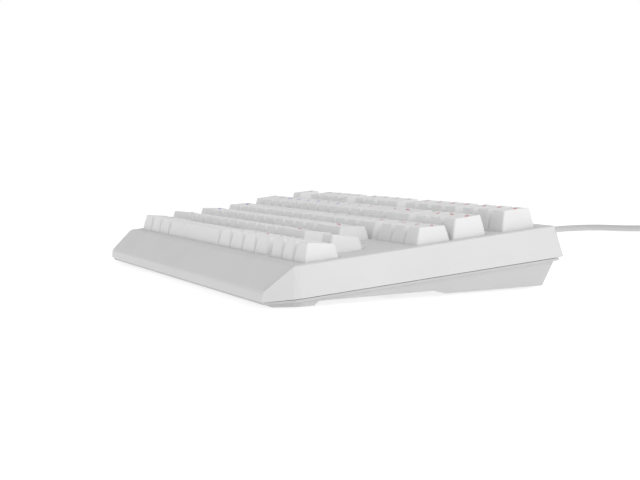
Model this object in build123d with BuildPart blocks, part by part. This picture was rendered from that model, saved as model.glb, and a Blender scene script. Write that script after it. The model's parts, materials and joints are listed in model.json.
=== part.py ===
"""Tenkeyless wired mechanical keyboard, built as separate pieces.

Row frame: +X to the right of the typist, +Y away from the typist, +Z up, desk at Z = 0.
The switches, keycaps and cases are laid out in the typing plane, which is the top of the bezel
and is tipped up at the back by the typing angle.
"""

from build123d import *
from math import atan2, cos, pi, radians, sin, tan
import os

# ---------------------------------------------------------------- driving dimensions (mm, degrees)
typing_angle = 4.5
bezel_origin = (0, -54.6, 20.2)  # front edge of the key block in the bezel's top plane
pitch = 19.05  # one key unit
row_offset = 8.76  # from the bezel origin to the centre of the front row
block_width = 18.25 * pitch
block_left = -block_width / 2
travel = 4.0

wall = 2.2
top_level = 0.2
top_bottom = -15.5
top_front = -6.5
top_rear = 127.3
top_half_width = block_width / 2 + 6.57
bottom_half_width = block_width / 2 + 8.0
lip_top = (block_width / 2 - 0.15, -21.7, -10.6)
lip_bottom = (block_width / 2 - 1.05, -22.6, -15.2)
corner_top = (block_width / 2 + 6.5, -6.3, -0.9)
corner_bottom = (block_width / 2 + 8.0, -8.0, -15.8)
opening_margin = 0.3

flange_top = -15.8
flange_bottom = -17.0
tray_wall = 1.8
tray_half_width = block_width / 2 + 5.5
tray_foot_half_width = block_width / 2 + 3.0

plate_top = -8.0
plate_thickness = 1.5
plate_front, plate_rear, plate_half_width = -7.5, 125.3, 174.5
board_top = -13.0
board_thickness = 1.6
board_front, board_rear, board_half_width = 0.3, 119.0, 172.5
housing_top = -1.4
stem_top = 2.2
skirt_bottom = -2.0

gap_y = 98.06  # middle of the gap between the number and function rows
function_y = 5.375 * pitch + row_offset

screw_diameter, screw_length = 2.5, 9.0
front_screws = [(x, -4.4) for x in (-165, -55, 55, 165)]
function_row_screws = [(x, function_y) for x in (-145.2, -54.75, 31.0)]
inner_screws = function_row_screws + [(-95, gap_y), (145.3, gap_y), (160, 46)]
screw_places = front_screws + inner_screws

foot_x = 156.0  # centre of each flip foot, left and right
foot_hinge = (105.6, -25.6)  # y, z of the hinge axis in the typing frame
foot_drop = 0.45  # the foot's middle line lies this far below its hinge axis
foot_length, foot_width, foot_thickness = 23.0, 20.0, 4.4

cord_diameter = 4.2
cord_x = -70.0
cord_height = 8.2
coil_centre = (-111.0, 356.0)
coil_radius, coil_turns_wide, coil_turns_high = 21.0, 3, 4

# ---------------------------------------------------------------- reference frames
slope, lift = sin(radians(typing_angle)), cos(radians(typing_angle))
typing = Plane(origin=bezel_origin, x_dir=(1, 0, 0), z_dir=(0, -slope, lift))
side = Plane(origin=bezel_origin, x_dir=typing.y_dir, z_dir=(1, 0, 0))
os.makedirs("parts", exist_ok=True)


def place(x, y, z=0.0):
    """A location in the typing frame."""
    return typing.location * Location((x, y, z))


def typing_cut(point, normal):
    """A plane through a point of the typing frame, with its normal in the same frame."""
    base = typing.from_local_coords(Vector(*point))
    tip = typing.from_local_coords(Vector(*point) + Vector(*normal))
    return Plane(origin=base, z_dir=tip - base)


def write(builder, name):
    builder.part.label = name
    export_step(builder.part, f"parts/{name}.step")


# ---------------------------------------------------------------- key layout
def run_of(start, count):
    """Neighbouring one-unit keys, each as (left edge, width) in key units."""
    return [(start + i, 1.0) for i in range(count)]


# each row's height on the key grid
row_height = {"bottom": 0.0, "shift": 1.0, "home": 2.0, "upper": 3.0, "number": 4.0, "function": 5.375}
# height of each row's keycap at the front and rear edge of its top
cap_tops = {
    "bottom": (9.2, 6.7),
    "shift": (9.3, 6.2),
    "home": (8.7, 6.7),
    "upper": (8.3, 7.5),
    "number": (9.9, 10.0),
    "function": (10.2, 9.9),
}
keys = {
    "left_ctrl": ("bottom", [(0, 1.25)]),
    "left_meta": ("bottom", [(1.25, 1.25)]),
    "left_alt": ("bottom", [(2.5, 1.25)]),
    "space_bar": ("bottom", [(3.75, 6.25)]),
    "right_alt": ("bottom", [(10, 1.25)]),
    "fn_key": ("bottom", [(11.25, 1.25)]),
    "menu_key": ("bottom", [(12.5, 1.25)]),
    "right_ctrl": ("bottom", [(13.75, 1.25)]),
    "arrow_left": ("bottom", [(15.25, 1)]),
    "arrow_down": ("bottom", [(16.25, 1)]),
    "arrow_right": ("bottom", [(17.25, 1)]),
    "left_shift": ("shift", [(0, 2.25)]),
    "shift_row_left_keys": ("shift", run_of(2.25, 5)),
    "shift_row_right_keys": ("shift", run_of(7.25, 5)),
    "right_shift": ("shift", [(12.25, 2.75)]),
    "arrow_up": ("shift", [(16.25, 1)]),
    "caps_lock": ("home", [(0, 1.75)]),
    "home_row_left_keys": ("home", run_of(1.75, 4)),
    "home_row_middle_keys": ("home", run_of(5.75, 4)),
    "home_row_right_keys": ("home", run_of(9.75, 3)),
    "enter_key": ("home", [(12.75, 2.25)]),
    "tab_key": ("upper", [(0, 1.5)]),
    "upper_row_left_keys": ("upper", run_of(1.5, 4)),
    "upper_row_middle_keys": ("upper", run_of(5.5, 4)),
    "upper_row_right_keys": ("upper", run_of(9.5, 4)),
    "backslash_key": ("upper", [(13.5, 1.5)]),
    "delete_key": ("upper", [(15.25, 1)]),
    "end_key": ("upper", [(16.25, 1)]),
    "page_down_key": ("upper", [(17.25, 1)]),
    "number_row_left_keys": ("number", run_of(0, 5)),
    "number_row_middle_keys": ("number", run_of(5, 4)),
    "number_row_right_keys": ("number", run_of(9, 4)),
    "backspace_key": ("number", [(13, 2)]),
    "insert_key": ("number", [(15.25, 1)]),
    "home_key": ("number", [(16.25, 1)]),
    "page_up_key": ("number", [(17.25, 1)]),
    "escape_key": ("function", [(0, 1)]),
    "function_keys_1_to_4": ("function", run_of(2, 4)),
    "function_keys_5_to_8": ("function", run_of(6.5, 4)),
    "function_keys_9_to_12": ("function", run_of(11, 4)),
    "print_screen_key": ("function", [(15.25, 1)]),
    "scroll_lock_key": ("function", [(16.25, 1)]),
    "pause_key": ("function", [(17.25, 1)]),
}
# blocks of keys that share one opening in the bezel: left, right, lowest and highest grid line
openings = [
    (0, 15, 0, 5),
    (15.25, 18.25, 0, 1),
    (16.25, 17.25, 0.9, 2),
    (15.25, 18.25, 3, 5),
    (0, 1, 5.375, 6.375),
    (2, 6, 5.375, 6.375),
    (6.5, 10.5, 5.375, 6.375),
    (11, 15, 5.375, 6.375),
    (15.25, 18.25, 5.375, 6.375),
]


def key_centre(row, left, units):
    return block_left + (left + units / 2) * pitch, row_height[row] * pitch + row_offset


def guide_spacing(units):
    """Distance from a long key's middle to each of its stabiliser guides, or 0 for a short key."""
    if units > 6:
        return 50.0
    return 11.94 if units >= 2 else 0.0


switch_places = []
guide_places = []
wire_places = []
for row, caps in keys.values():
    for left, units in caps:
        x, y = key_centre(row, left, units)
        switch_places.append((x, y))
        if guide_spacing(units):
            guide_places += [(x - guide_spacing(units), y), (x + guide_spacing(units), y)]
            wire_places.append((x, y, guide_spacing(units)))

# ---------------------------------------------------------------- keys: cap and switch slider
cap_gap, cap_skirt_depth, cap_corner = 0.9, 18.1, 1.3
cap_top_inset, cap_top_front, cap_top_rear = 6.3, -5.35, 8.35
cap_wall = 1.4
post_length, post_width, post_slack = 4.0, 1.25, 0.05
socket_diameter = 5.6


def keycap(units, row):
    """A hollow keycap, with a socket for the switch and for each stabiliser slider."""
    front_height, rear_height = cap_tops[row]
    top_depth = cap_top_rear - cap_top_front
    tip = atan2(rear_height - front_height, top_depth)
    middle = Vector(0, (cap_top_front + cap_top_rear) / 2, (front_height + rear_height) / 2)
    socket_top = front_height - (rear_height - front_height) * cap_top_front / top_depth - cap_wall / 2
    spacing = guide_spacing(units)
    sockets = [(0, 0), (-spacing, 0), (spacing, 0)] if spacing else [(0, 0)]
    with BuildPart() as cap:
        for shell, mode in ((0, Mode.ADD), (cap_wall, Mode.SUBTRACT)):
            with BuildSketch(Plane.XY.offset(skirt_bottom)):
                RectangleRounded(units * pitch - cap_gap - 2 * shell, cap_skirt_depth - 2 * shell, cap_corner)
            top_plane = Plane(middle - Vector(0, 0, shell), x_dir=(1, 0, 0), z_dir=(0, -sin(tip), cos(tip)))
            with BuildSketch(top_plane):
                RectangleRounded(
                    units * pitch - cap_top_inset - 2 * shell, top_depth / cos(tip) - 2 * shell, cap_corner
                )
            loft(ruled=True, mode=mode)
        with BuildSketch(Plane.XY.offset(housing_top + post_slack)):
            with Locations(*sockets):
                Circle(socket_diameter / 2)
        extrude(amount=socket_top - housing_top - post_slack)
        with BuildSketch(Plane.XY.offset(housing_top)):
            with Locations(*sockets):
                Rectangle(post_length + 2 * post_slack, post_width + 2 * post_slack)
                Rectangle(post_width + 2 * post_slack, post_length + 2 * post_slack)
        extrude(amount=stem_top + 2 * post_slack - housing_top, mode=Mode.SUBTRACT)
    return cap.part


slider_length, slider_width, slider_bottom = 7.0, 5.6, -7.8
spring_bore, spring_ceiling = 4.9, -3.4

with BuildPart() as slider:
    with BuildSketch(Plane.XY.offset(slider_bottom)):
        Rectangle(slider_length, slider_width)
    extrude(amount=housing_top - slider_bottom)
    with BuildSketch(Plane.XY.offset(slider_bottom)):
        Circle(spring_bore / 2)
    extrude(amount=spring_ceiling - slider_bottom, mode=Mode.SUBTRACT)
    with BuildSketch(Plane.XY.offset(housing_top)):
        Rectangle(post_length, post_width)
        Rectangle(post_width, post_length)
    extrude(amount=stem_top - housing_top)

guide_slider_length, guide_slider_width = 5.4, 5.6
wire_diameter, wire_z, wire_y = 1.5, -7.2, -9.4
wire_slot = 1.9

with BuildPart() as guide_slider:
    with BuildSketch(Plane.XY.offset(slider_bottom)):
        Rectangle(guide_slider_length, guide_slider_width)
    extrude(amount=housing_top - slider_bottom)
    with BuildSketch(Plane.XY.offset(housing_top)):
        Rectangle(post_length, post_width)
        Rectangle(post_width, post_length)
    extrude(amount=stem_top - housing_top)
    # tall slot that the end of the stabiliser wire reaches into
    with BuildSketch(Plane.XY.offset(slider_bottom)):
        with Locations((0, -guide_slider_width / 2)):
            Rectangle(wire_slot, 3.4)
    extrude(amount=wire_z + wire_diameter / 2 + travel + 0.4 - slider_bottom, mode=Mode.SUBTRACT)

cap_shapes = {}
for name, (row, caps) in keys.items():
    with BuildPart() as key:
        for left, units in caps:
            if (row, units) not in cap_shapes:
                cap_shapes[row, units] = keycap(units, row)
            x, y = key_centre(row, left, units)
            spacing = guide_spacing(units)
            with Locations(place(x, y)):
                add(cap_shapes[row, units])
                add(slider.part)
            if spacing:
                with Locations(place(x - spacing, y), place(x + spacing, y)):
                    add(guide_slider.part)
    write(key, name)

# ---------------------------------------------------------------- switch housings and springs
housing_body, housing_flange, housing_crown = 13.9, 15.6, 10.6
flange_thickness = 1.0
channel_length, channel_width, channel_floor = 7.4, 6.0, -12.1
pin_bottom = -16.3
pin_places = [(-3.81, 2.54), (2.54, 5.08)]
pin_diameter, spigot_diameter, spigot_bottom = 1.4, 3.9, -14.6
light_window_y, light_window = -4.9, (4.4, 3.6, 1.7)

with BuildPart() as housing:
    with BuildSketch(Plane.XY.offset(board_top)):
        Rectangle(housing_body, housing_body)
    extrude(amount=plate_top - board_top)
    with BuildSketch(Plane.XY.offset(plate_top)):
        RectangleRounded(housing_flange, housing_flange, 0.8)
    extrude(amount=flange_thickness)
    with BuildSketch(Plane.XY.offset(plate_top + flange_thickness)):
        Rectangle(housing_body + 0.4, housing_body + 0.4)
    with BuildSketch(Plane.XY.offset(housing_top)):
        Rectangle(housing_crown, housing_crown)
    loft(ruled=True)
    with BuildSketch(Plane.XY.offset(channel_floor)):
        Rectangle(channel_length, channel_width)
    extrude(amount=housing_top - channel_floor, mode=Mode.SUBTRACT)
    with BuildSketch(Plane.XY.offset(board_top)):
        with Locations((0, light_window_y)):
            Rectangle(light_window[0], light_window[1])
    extrude(amount=light_window[2], mode=Mode.SUBTRACT)
    with BuildSketch(Plane.XY.offset(board_top)):
        Circle(spigot_diameter / 2)
    extrude(amount=spigot_bottom - board_top)
    with BuildSketch(Plane.XY.offset(board_top)):
        with Locations(*pin_places):
            Circle(pin_diameter / 2)
    extrude(amount=pin_bottom - board_top)

with BuildPart() as switch_housings:
    with Locations(*[place(x, y) for x, y in switch_places]):
        add(housing.part)
write(switch_housings, "switch_housings")

spring_radius, spring_wire, spring_turns = 1.95, 0.45, 4
spring_low = channel_floor + spring_wire / 2 + 0.05
spring_high = spring_ceiling - spring_wire / 2 - 0.05

with BuildPart() as spring:
    with BuildLine() as coil_line:
        Helix((spring_high - spring_low) / spring_turns, spring_high - spring_low, spring_radius)
    with BuildSketch(Plane(coil_line.line @ 0, z_dir=coil_line.line % 0)):
        Rectangle(spring_wire, spring_wire)
    sweep(is_frenet=True)

with BuildPart() as switch_springs:
    with Locations(*[place(x, y, spring_low) for x, y in switch_places]):
        add(spring.part)
write(switch_springs, "switch_springs")

# ---------------------------------------------------------------- stabilisers
guide_body = (7.0, 11.0)
guide_top, guide_bottom = -3.2, -12.4
guide_flange = (7.8, 13.0)

with BuildPart() as guide:
    with BuildSketch(Plane.XY.offset(guide_bottom)):
        Rectangle(*guide_body)
    extrude(amount=guide_top - guide_bottom)
    with BuildSketch(Plane.XY.offset(plate_top)):
        Rectangle(*guide_flange)
    extrude(amount=0.7)
    with BuildSketch(Plane.XY.offset(guide_bottom)):
        Rectangle(guide_slider_length + 0.4, guide_slider_width + 0.4)
    extrude(amount=guide_top - guide_bottom, mode=Mode.SUBTRACT)
    with BuildSketch(Plane.XY.offset(plate_top - 0.3)):
        with Locations((0, -guide_flange[1] / 2)):
            Rectangle(wire_slot, guide_flange[1])
    extrude(amount=2.4, mode=Mode.SUBTRACT)

with BuildPart() as stabilizers:
    with Locations(*[place(x, y) for x, y in guide_places]):
        add(guide.part)
    for x, y, spacing in wire_places:
        arm_tip = wire_y + 7.6
        with BuildLine(Plane(place(x, y, wire_z))) as wire_path:
            FilletPolyline(
                (-spacing, arm_tip), (-spacing, wire_y), (spacing, wire_y), (spacing, arm_tip), radius=1.6
            )
        with BuildSketch(Plane(wire_path.line @ 0, z_dir=wire_path.line % 0)):
            Circle(wire_diameter / 2)
        sweep()
write(stabilizers, "stabilizers")

# ---------------------------------------------------------------- plate and circuit board
with BuildPart() as switch_plate:
    with BuildSketch(typing.offset(plate_top)):
        with Locations((0, (plate_front + plate_rear) / 2)):
            RectangleRounded(2 * plate_half_width, plate_rear - plate_front, 3)
        with Locations(*switch_places):
            Rectangle(housing_body + 0.1, housing_body + 0.1, mode=Mode.SUBTRACT)
        with Locations(*guide_places):
            Rectangle(guide_body[0] + 0.1, guide_body[1] + 0.1, mode=Mode.SUBTRACT)
        with Locations(*screw_places):
            Circle(screw_diameter / 2 + 0.1, mode=Mode.SUBTRACT)
    extrude(amount=-plate_thickness)
write(switch_plate, "switch_plate")

boss_diameter, board_boss_hole = 7.2, 8.0
controller = (10.0, 10.0, 1.4)
controller_place = (60.0, gap_y)
socket_place, socket_size = (cord_x - 6, 99.0), (9.0, 6.0, 4.5)
light_size = (3.2, 2.6, 1.3)

with BuildPart() as circuit_board:
    with BuildSketch(typing.offset(board_top)):
        with Locations((0, (board_front + board_rear) / 2)):
            RectangleRounded(2 * board_half_width, board_rear - board_front, 2)
        with Locations(*inner_screws):
            Circle(board_boss_hole / 2, mode=Mode.SUBTRACT)
        with Locations(*switch_places):
            Circle(spigot_diameter / 2 + 0.1, mode=Mode.SUBTRACT)
            with Locations(*pin_places):
                Circle(pin_diameter / 2 + 0.1, mode=Mode.SUBTRACT)
    extrude(amount=-board_thickness)
    with BuildSketch(typing.offset(board_top)):
        with Locations(*[(x, y + light_window_y) for x, y in switch_places]):
            Rectangle(light_size[0], light_size[1])
    extrude(amount=light_size[2])
    with BuildSketch(typing.offset(board_top - board_thickness)):
        with Locations(controller_place):
            Rectangle(controller[0], controller[1])
    extrude(amount=-controller[2])
    with BuildSketch(typing.offset(board_top - board_thickness)):
        with Locations(socket_place):
            Rectangle(socket_size[0], socket_size[1])
    extrude(amount=-socket_size[2])
write(circuit_board, "circuit_board")

# ---------------------------------------------------------------- top case
edge_bevel = 0.35


def outward(start, end):
    """Outward normal of a long face seen from the side, from its upper to its lower edge (y, z)."""
    return Vector(0, end[1] - start[1], start[0] - end[0]).normalized()


def top_form(shell, top, bottom):
    """The top case as a block cut by its faces, each drawn in by the shell thickness."""
    side_lean = (bottom_half_width - top_half_width) / (top_level - top_bottom)
    up, back = Vector(0, 0, 1), Vector(0, top_level - top_bottom, 2.5).normalized()
    face_slope = outward((top_front, top_level), lip_top[1:])
    face_lip = outward(lip_top[1:], lip_bottom[1:])
    cuts = [
        (Vector(0, top_rear, top_level), back),
        (Vector(*lip_top), face_lip),
        (Vector(0, top_front, top_level), face_slope),
    ]
    bevels = [
        (Vector(0, top_rear, top_level), back + up),
        (Vector(0, top_front, top_level), face_slope + up),
        (Vector(*lip_top), face_lip + face_slope),
    ]
    corner_edge = Vector(*corner_top) - Vector(*corner_bottom)
    to_lip = (Vector(*lip_top) + Vector(*lip_bottom)) / 2 - Vector(*corner_top)
    corner = corner_edge.cross(to_lip).normalized()
    corner = corner if corner.Y < 0 else -corner
    for hand in (-1, 1):
        flank = Vector(hand, 0, side_lean).normalized()
        facet = Vector(hand * corner.X, corner.Y, corner.Z)
        shoulder = Vector(hand * top_half_width, 0, top_level)
        knuckle = Vector(hand * corner_top[0], corner_top[1], corner_top[2])
        lip_end = Vector(hand * lip_top[0], lip_top[1], lip_top[2])
        cuts += [(shoulder, flank), (knuckle, facet)]
        bevels += [(shoulder, flank + up), (knuckle, flank + facet), (lip_end, facet + face_slope)]
    with BuildPart() as form:
        with BuildSketch(typing.offset(bottom)):
            with Locations((0, 50)):
                Rectangle(2 * bottom_half_width + 30, 180)
        extrude(amount=top - bottom)
        for point, normal in cuts:
            split(bisect_by=typing_cut(point - normal * shell, normal), keep=Keep.BOTTOM)
        if not shell:
            for point, normal in bevels:
                normal = normal.normalized()
                split(bisect_by=typing_cut(point - normal * edge_bevel, normal), keep=Keep.BOTTOM)
    return form.part


upper_boss_diameter = 5.0
light_pipe_places = [(126.4, 46.8), (146.2, 40.4)]
light_pipe_diameter = 1.8

with BuildPart() as top_case:
    add(top_form(0, top_level, top_bottom))
    add(top_form(wall, top_level - wall, top_bottom - 1), mode=Mode.SUBTRACT)
    with BuildSketch(typing.offset(top_level)):
        for left, right, low, high in openings:
            middle = (block_left + (left + right) / 2 * pitch, ((low + high) / 2 - 0.5) * pitch + row_offset)
            with Locations(middle):
                Rectangle(
                    (right - left) * pitch + 2 * opening_margin, (high - low) * pitch + 2 * opening_margin
                )
        with Locations(*light_pipe_places):
            Circle(light_pipe_diameter / 2)
    extrude(amount=-wall - 0.1, mode=Mode.SUBTRACT)
    with BuildSketch(typing.offset(plate_top)):
        with Locations(*screw_places):
            Circle(upper_boss_diameter / 2)
    extrude(amount=top_level - wall / 2 - plate_top)
    with BuildSketch(typing.offset(plate_top)):
        with Locations(*screw_places):
            Circle(screw_diameter / 2 + 0.02)
    extrude(amount=5.5, mode=Mode.SUBTRACT)
write(top_case, "top_case")

with BuildPart() as indicator_lenses:
    with BuildSketch(typing.offset(top_level)):
        with Locations(*light_pipe_places):
            Circle(light_pipe_diameter / 2 - 0.03)
    extrude(amount=-5.0)
write(indicator_lenses, "indicator_lenses")

# ---------------------------------------------------------------- bottom case
# corners of the tray's profile as (y, z) in the typing frame, from the front to the rear
underside = [
    (-20.6, flange_bottom),
    (-17.6, -18.7),
    (0.8, -20.0),
    (3.4, -18.1),
    (61.2, -22.3),
    (67.6, -24.6),
    (119.0, -28.6),
    (125.5, flange_bottom),
]
pads = [(0, 45.4, 60, 9), (-125, 45.4, 60, 9), (125, 45.4, 60, 9), (-100, 44, 44, 9), (100, 44, 44, 9)]
pad_thickness, pad_slack = 1.5, 0.05
tray_fall = (underside[6][1] - underside[5][1]) / (underside[6][0] - underside[5][0])
foot_middle = foot_hinge[1] - foot_drop
pocket_floor = foot_middle + foot_thickness / 2 - foot_length * tray_fall + 0.5
pocket_front, pocket_rear = foot_hinge[0] - foot_length - 0.8, foot_hinge[0] + 3.1
pocket_width, pocket_wall = foot_width + 1.2, 1.6
hinge_pin_radius, hinge_pin_reach = 1.1, 1.3
neck_diameter, boot_diameter, boot_tip_diameter = 6.6, 8.8, 6.4
neck_start, boot_start, boot_end = 61.0, 72.6, 98.0
cord_axis = Plane(origin=(cord_x, 0, cord_height), x_dir=(1, 0, 0), z_dir=(0, 1, 0))


def floor_level(y):
    """Height of the underside at a distance from the front of the key block."""
    for (y0, z0), (y1, z1) in zip(underside, underside[1:]):
        if y0 <= y <= y1:
            return z0 + (z1 - z0) * (y - y0) / (y1 - y0)
    return flange_bottom


def tray_form(shell):
    """The tray below the flange, or with a shell thickness the space inside it, open at the top."""
    profile = [*underside, (underside[-1][0], flange_top), (underside[0][0], flange_top)]
    if shell:
        floor = [(y, z + shell) for y, z in underside[2:-2]]
        nose, (heel_y, heel_z), (tail_y, tail_z) = underside[1][0] + 0.8, underside[-2], underside[-1]
        rear = [(heel_y - 0.6 * shell, heel_z + shell), (tail_y - 1.3 * shell, tail_z + 0.2)]
        profile = [(nose, underside[1][1] + shell), *floor, *rear, (rear[1][0], board_top), (nose, board_top)]
    with BuildPart() as form:
        with BuildSketch(side):
            with BuildLine():
                Polyline(*profile, close=True)
            make_face()
        extrude(amount=tray_half_width - shell, both=True)
        lean = (tray_half_width - tray_foot_half_width) / (flange_bottom - underside[6][1])
        for hand in (-1, 1):
            point = Vector(hand * (tray_half_width - shell), 0, flange_bottom)
            split(bisect_by=typing_cut(point, (hand, 0, -lean)), keep=Keep.BOTTOM)
            facet = Vector(hand * 13.4, -8.4, 0).normalized()
            point = Vector(hand * (tray_half_width - 1), -8.2, 0) - facet * (shell + 0.6)
            split(bisect_by=typing_cut(point, facet), keep=Keep.BOTTOM)
    return form.part


def outline(inset):
    """Plan of the flange, which follows the top case's lower edge, drawn in by an inset."""
    half, nose = bottom_half_width - 0.6 - inset, block_width / 2 - 2.2 - 0.6 * inset
    front, corner, rear = -21.6 + inset, -8.2 + 0.4 * inset, 127.5 - inset
    return [(half, rear), (-half, rear), (-half, corner), (-nose, front), (nose, front), (half, corner)]


rim_inset, rim_thickness = 4.3, 1.6

with BuildPart() as bottom_case:
    with BuildSketch(typing.offset(flange_bottom)):
        with BuildLine():
            Polyline(*outline(0), close=True)
        make_face()
    extrude(amount=flange_top - flange_bottom)
    add(tray_form(0))
    add(tray_form(tray_wall), mode=Mode.SUBTRACT)
    # locating rim that stands up inside the top case
    for inset, mode in ((rim_inset, Mode.ADD), (rim_inset + rim_thickness, Mode.SUBTRACT)):
        with BuildSketch(typing.offset(flange_top - 0.2)):
            with BuildLine():
                Polyline(*outline(inset), close=True)
            make_face()
        extrude(amount=2.0, mode=mode)
    # blocks around the pockets of the folding feet
    for hand in (-1, 1):
        with BuildSketch(side.offset(hand * foot_x)):
            with BuildLine():
                low, high = pocket_front - pocket_wall, pocket_rear + pocket_wall
                Polyline(
                    (low, floor_level(low) + 0.4), (high, floor_level(high) + 0.4),
                    (high, pocket_floor + pocket_wall), (low, pocket_floor + pocket_wall), close=True,
                )
            make_face()
        extrude(amount=pocket_width / 2 + pocket_wall, both=True)
    # columns that carry the plate
    for x, y in screw_places:
        with BuildSketch(typing.offset(plate_top - plate_thickness)):
            with Locations((x, y)):
                Circle(boss_diameter / 2)
        extrude(amount=floor_level(y) + 0.8 - plate_top + plate_thickness)
    with BuildSketch(typing.offset(pocket_floor)):
        with Locations(*[(hand * foot_x, (pocket_front + pocket_rear) / 2) for hand in (-1, 1)]):
            Rectangle(pocket_width, pocket_rear - pocket_front)
    extrude(amount=-9.0, mode=Mode.SUBTRACT)
    for hand in (-1, 1):
        with BuildSketch(side.offset(hand * foot_x)):
            with Locations(foot_hinge):
                Circle(hinge_pin_radius + 0.05)
        extrude(amount=pocket_width / 2 + hinge_pin_reach, both=True, mode=Mode.SUBTRACT)
    # screw holes, with deep counterbores from below
    with BuildSketch(typing.offset(board_top)):
        with Locations(*screw_places):
            Circle(2.6)
    extrude(amount=-20.0, mode=Mode.SUBTRACT)
    with BuildSketch(typing.offset(plate_top - plate_thickness)):
        with Locations(*screw_places):
            Circle(screw_diameter / 2 + 0.1)
    extrude(amount=-6.0, mode=Mode.SUBTRACT)
    # hole for the cable gland
    with BuildSketch(cord_axis.offset(neck_start + 2)):
        Circle(neck_diameter / 2 + 0.05)
    extrude(amount=12, mode=Mode.SUBTRACT)
    # recesses for the rubber pads
    with BuildSketch(Plane.XY):
        for x, y, length, depth in pads[:3]:
            with Locations((x, y - 110.3)):
                SlotOverall(length + 0.1, depth + 0.1)
        for x, y, length, depth in pads[3:]:
            with Locations((x, y)):
                SlotOverall(length + 0.1, depth + 0.1)
    extrude(amount=pad_thickness + pad_slack, mode=Mode.SUBTRACT)
write(bottom_case, "bottom_case")

# ---------------------------------------------------------------- feet, pads and screws
tip_pad = 1.0

for hand, name in ((-1, "foot_left"), (1, "foot_right")):
    with BuildPart() as foot:
        with BuildSketch(side.offset(hand * foot_x)):
            with BuildLine():
                rise = -tray_fall * (foot_length - tip_pad)
                tip_y, half = foot_hinge[0] - foot_length + tip_pad, foot_thickness / 2
                Polyline(
                    (foot_hinge[0], foot_middle - half), (tip_y, foot_middle - half + rise),
                    (tip_y, foot_middle + half + rise), (foot_hinge[0], foot_middle + half), close=True,
                )
            make_face()
            with Locations(foot_hinge):
                Circle(foot_thickness / 2)
        extrude(amount=foot_width / 2, both=True)
        with BuildSketch(side.offset(hand * foot_x)):
            with Locations(foot_hinge):
                Circle(hinge_pin_radius)
        extrude(amount=pocket_width / 2 + hinge_pin_reach - 0.1, both=True)
        # hollow on the hidden face, between the side ribs
        with BuildSketch(side.offset(hand * foot_x)):
            with Locations((foot_hinge[0] - foot_length / 2 - 1.2, foot_middle + half + rise / 2)):
                Rectangle(13, 3.2)
        extrude(amount=foot_width / 2 - 3, both=True, mode=Mode.SUBTRACT)
    with BuildPart() as pad_tip:
        with BuildSketch(side.offset(hand * foot_x)):
            with BuildLine():
                Polyline(
                    (tip_y, foot_middle - half + rise), (tip_y - tip_pad, foot_middle - half + rise + 0.5),
                    (tip_y - tip_pad, foot_middle + half + rise - 0.5), (tip_y, foot_middle + half + rise),
                    close=True,
                )
            make_face()
        extrude(amount=foot_width / 2 - 0.6, both=True)
    foot_pieces = Compound(label=name, children=[*foot.part.solids(), *pad_tip.part.solids()])
    export_step(foot_pieces, f"parts/{name}.step")

with BuildPart() as rubber_pads:
    with BuildSketch(Plane.XY):
        for x, y, length, depth in pads[:3]:
            with Locations((x, y - 110.3)):
                SlotOverall(length, depth)
        for x, y, length, depth in pads[3:]:
            with Locations((x, y)):
                SlotOverall(length, depth)
    extrude(amount=pad_thickness)
write(rubber_pads, "rubber_pads")

screw_head_diameter, screw_head_height = 4.6, 1.8
with BuildPart() as screw:
    with BuildSketch(Plane.XY.offset(board_top - screw_head_height)):
        Circle(screw_head_diameter / 2)
    extrude(amount=screw_head_height)
    with BuildSketch(Plane.XY.offset(board_top - screw_head_height)):
        Rectangle(2.6, 0.6)
        Rectangle(0.6, 2.6)
    extrude(amount=0.9, mode=Mode.SUBTRACT)
    with BuildSketch(Plane.XY.offset(board_top)):
        Circle(screw_diameter / 2)
    extrude(amount=screw_length)
    chamfer(screw.faces().sort_by(Axis.Z)[-1].edges(), length=0.5)

with BuildPart() as case_screws:
    with Locations(*[place(x, y) for x, y in screw_places]):
        add(screw.part)
write(case_screws, "case_screws")

# ---------------------------------------------------------------- cable
with BuildPart() as cable_gland:
    with BuildSketch(cord_axis.offset(neck_start)):
        Circle(boot_diameter / 2)
    extrude(amount=2.0)
    with BuildSketch(cord_axis.offset(neck_start + 2)):
        Circle(neck_diameter / 2)
    extrude(amount=boot_start - neck_start - 2)
    with BuildSketch(cord_axis.offset(boot_start)):
        Circle(boot_diameter / 2)
    with BuildSketch(cord_axis.offset(boot_end)):
        Circle(boot_tip_diameter / 2)
    loft()
write(cable_gland, "cable_gland")

on_desk = cord_diameter / 2
lead_route = [
    (cord_x, boot_end, cord_height),
    (cord_x, 109, cord_height),
    (-75, 126, 4.0),
    (-86, 146, on_desk),
    (-101, 167, on_desk),
    (-120, 188, on_desk),
    (-141, 209, on_desk),
    (-156, 228, on_desk),
    (-163.5, 243.8, on_desk),
    (-161.4, 258.1, on_desk),
    (-151.7, 268.9, on_desk),
    (-127.5, 275.2, on_desk),
    (-115.8, 283.7, on_desk),
    (-107.9, 295.9, 2.6),
    (-102.8, 307.0, 5.0),
    (-98.2, 321, 9.4),
    (-94.2, 336.4, 13.9),
    (-90.6, 350.9, 14.7),
]


def bend_radii(points):
    """Each corner's radius: 0.45 of its shorter run, divided by the tangent of half its turn."""
    radii = []
    for before, at, after in zip(points, points[1:], points[2:]):
        run_in, run_out = Vector(*at) - Vector(*before), Vector(*after) - Vector(*at)
        turn = radians(run_in.get_angle(run_out))
        radii.append(0.45 * min(run_in.length, run_out.length) / tan(turn / 2))
    return radii


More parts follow.
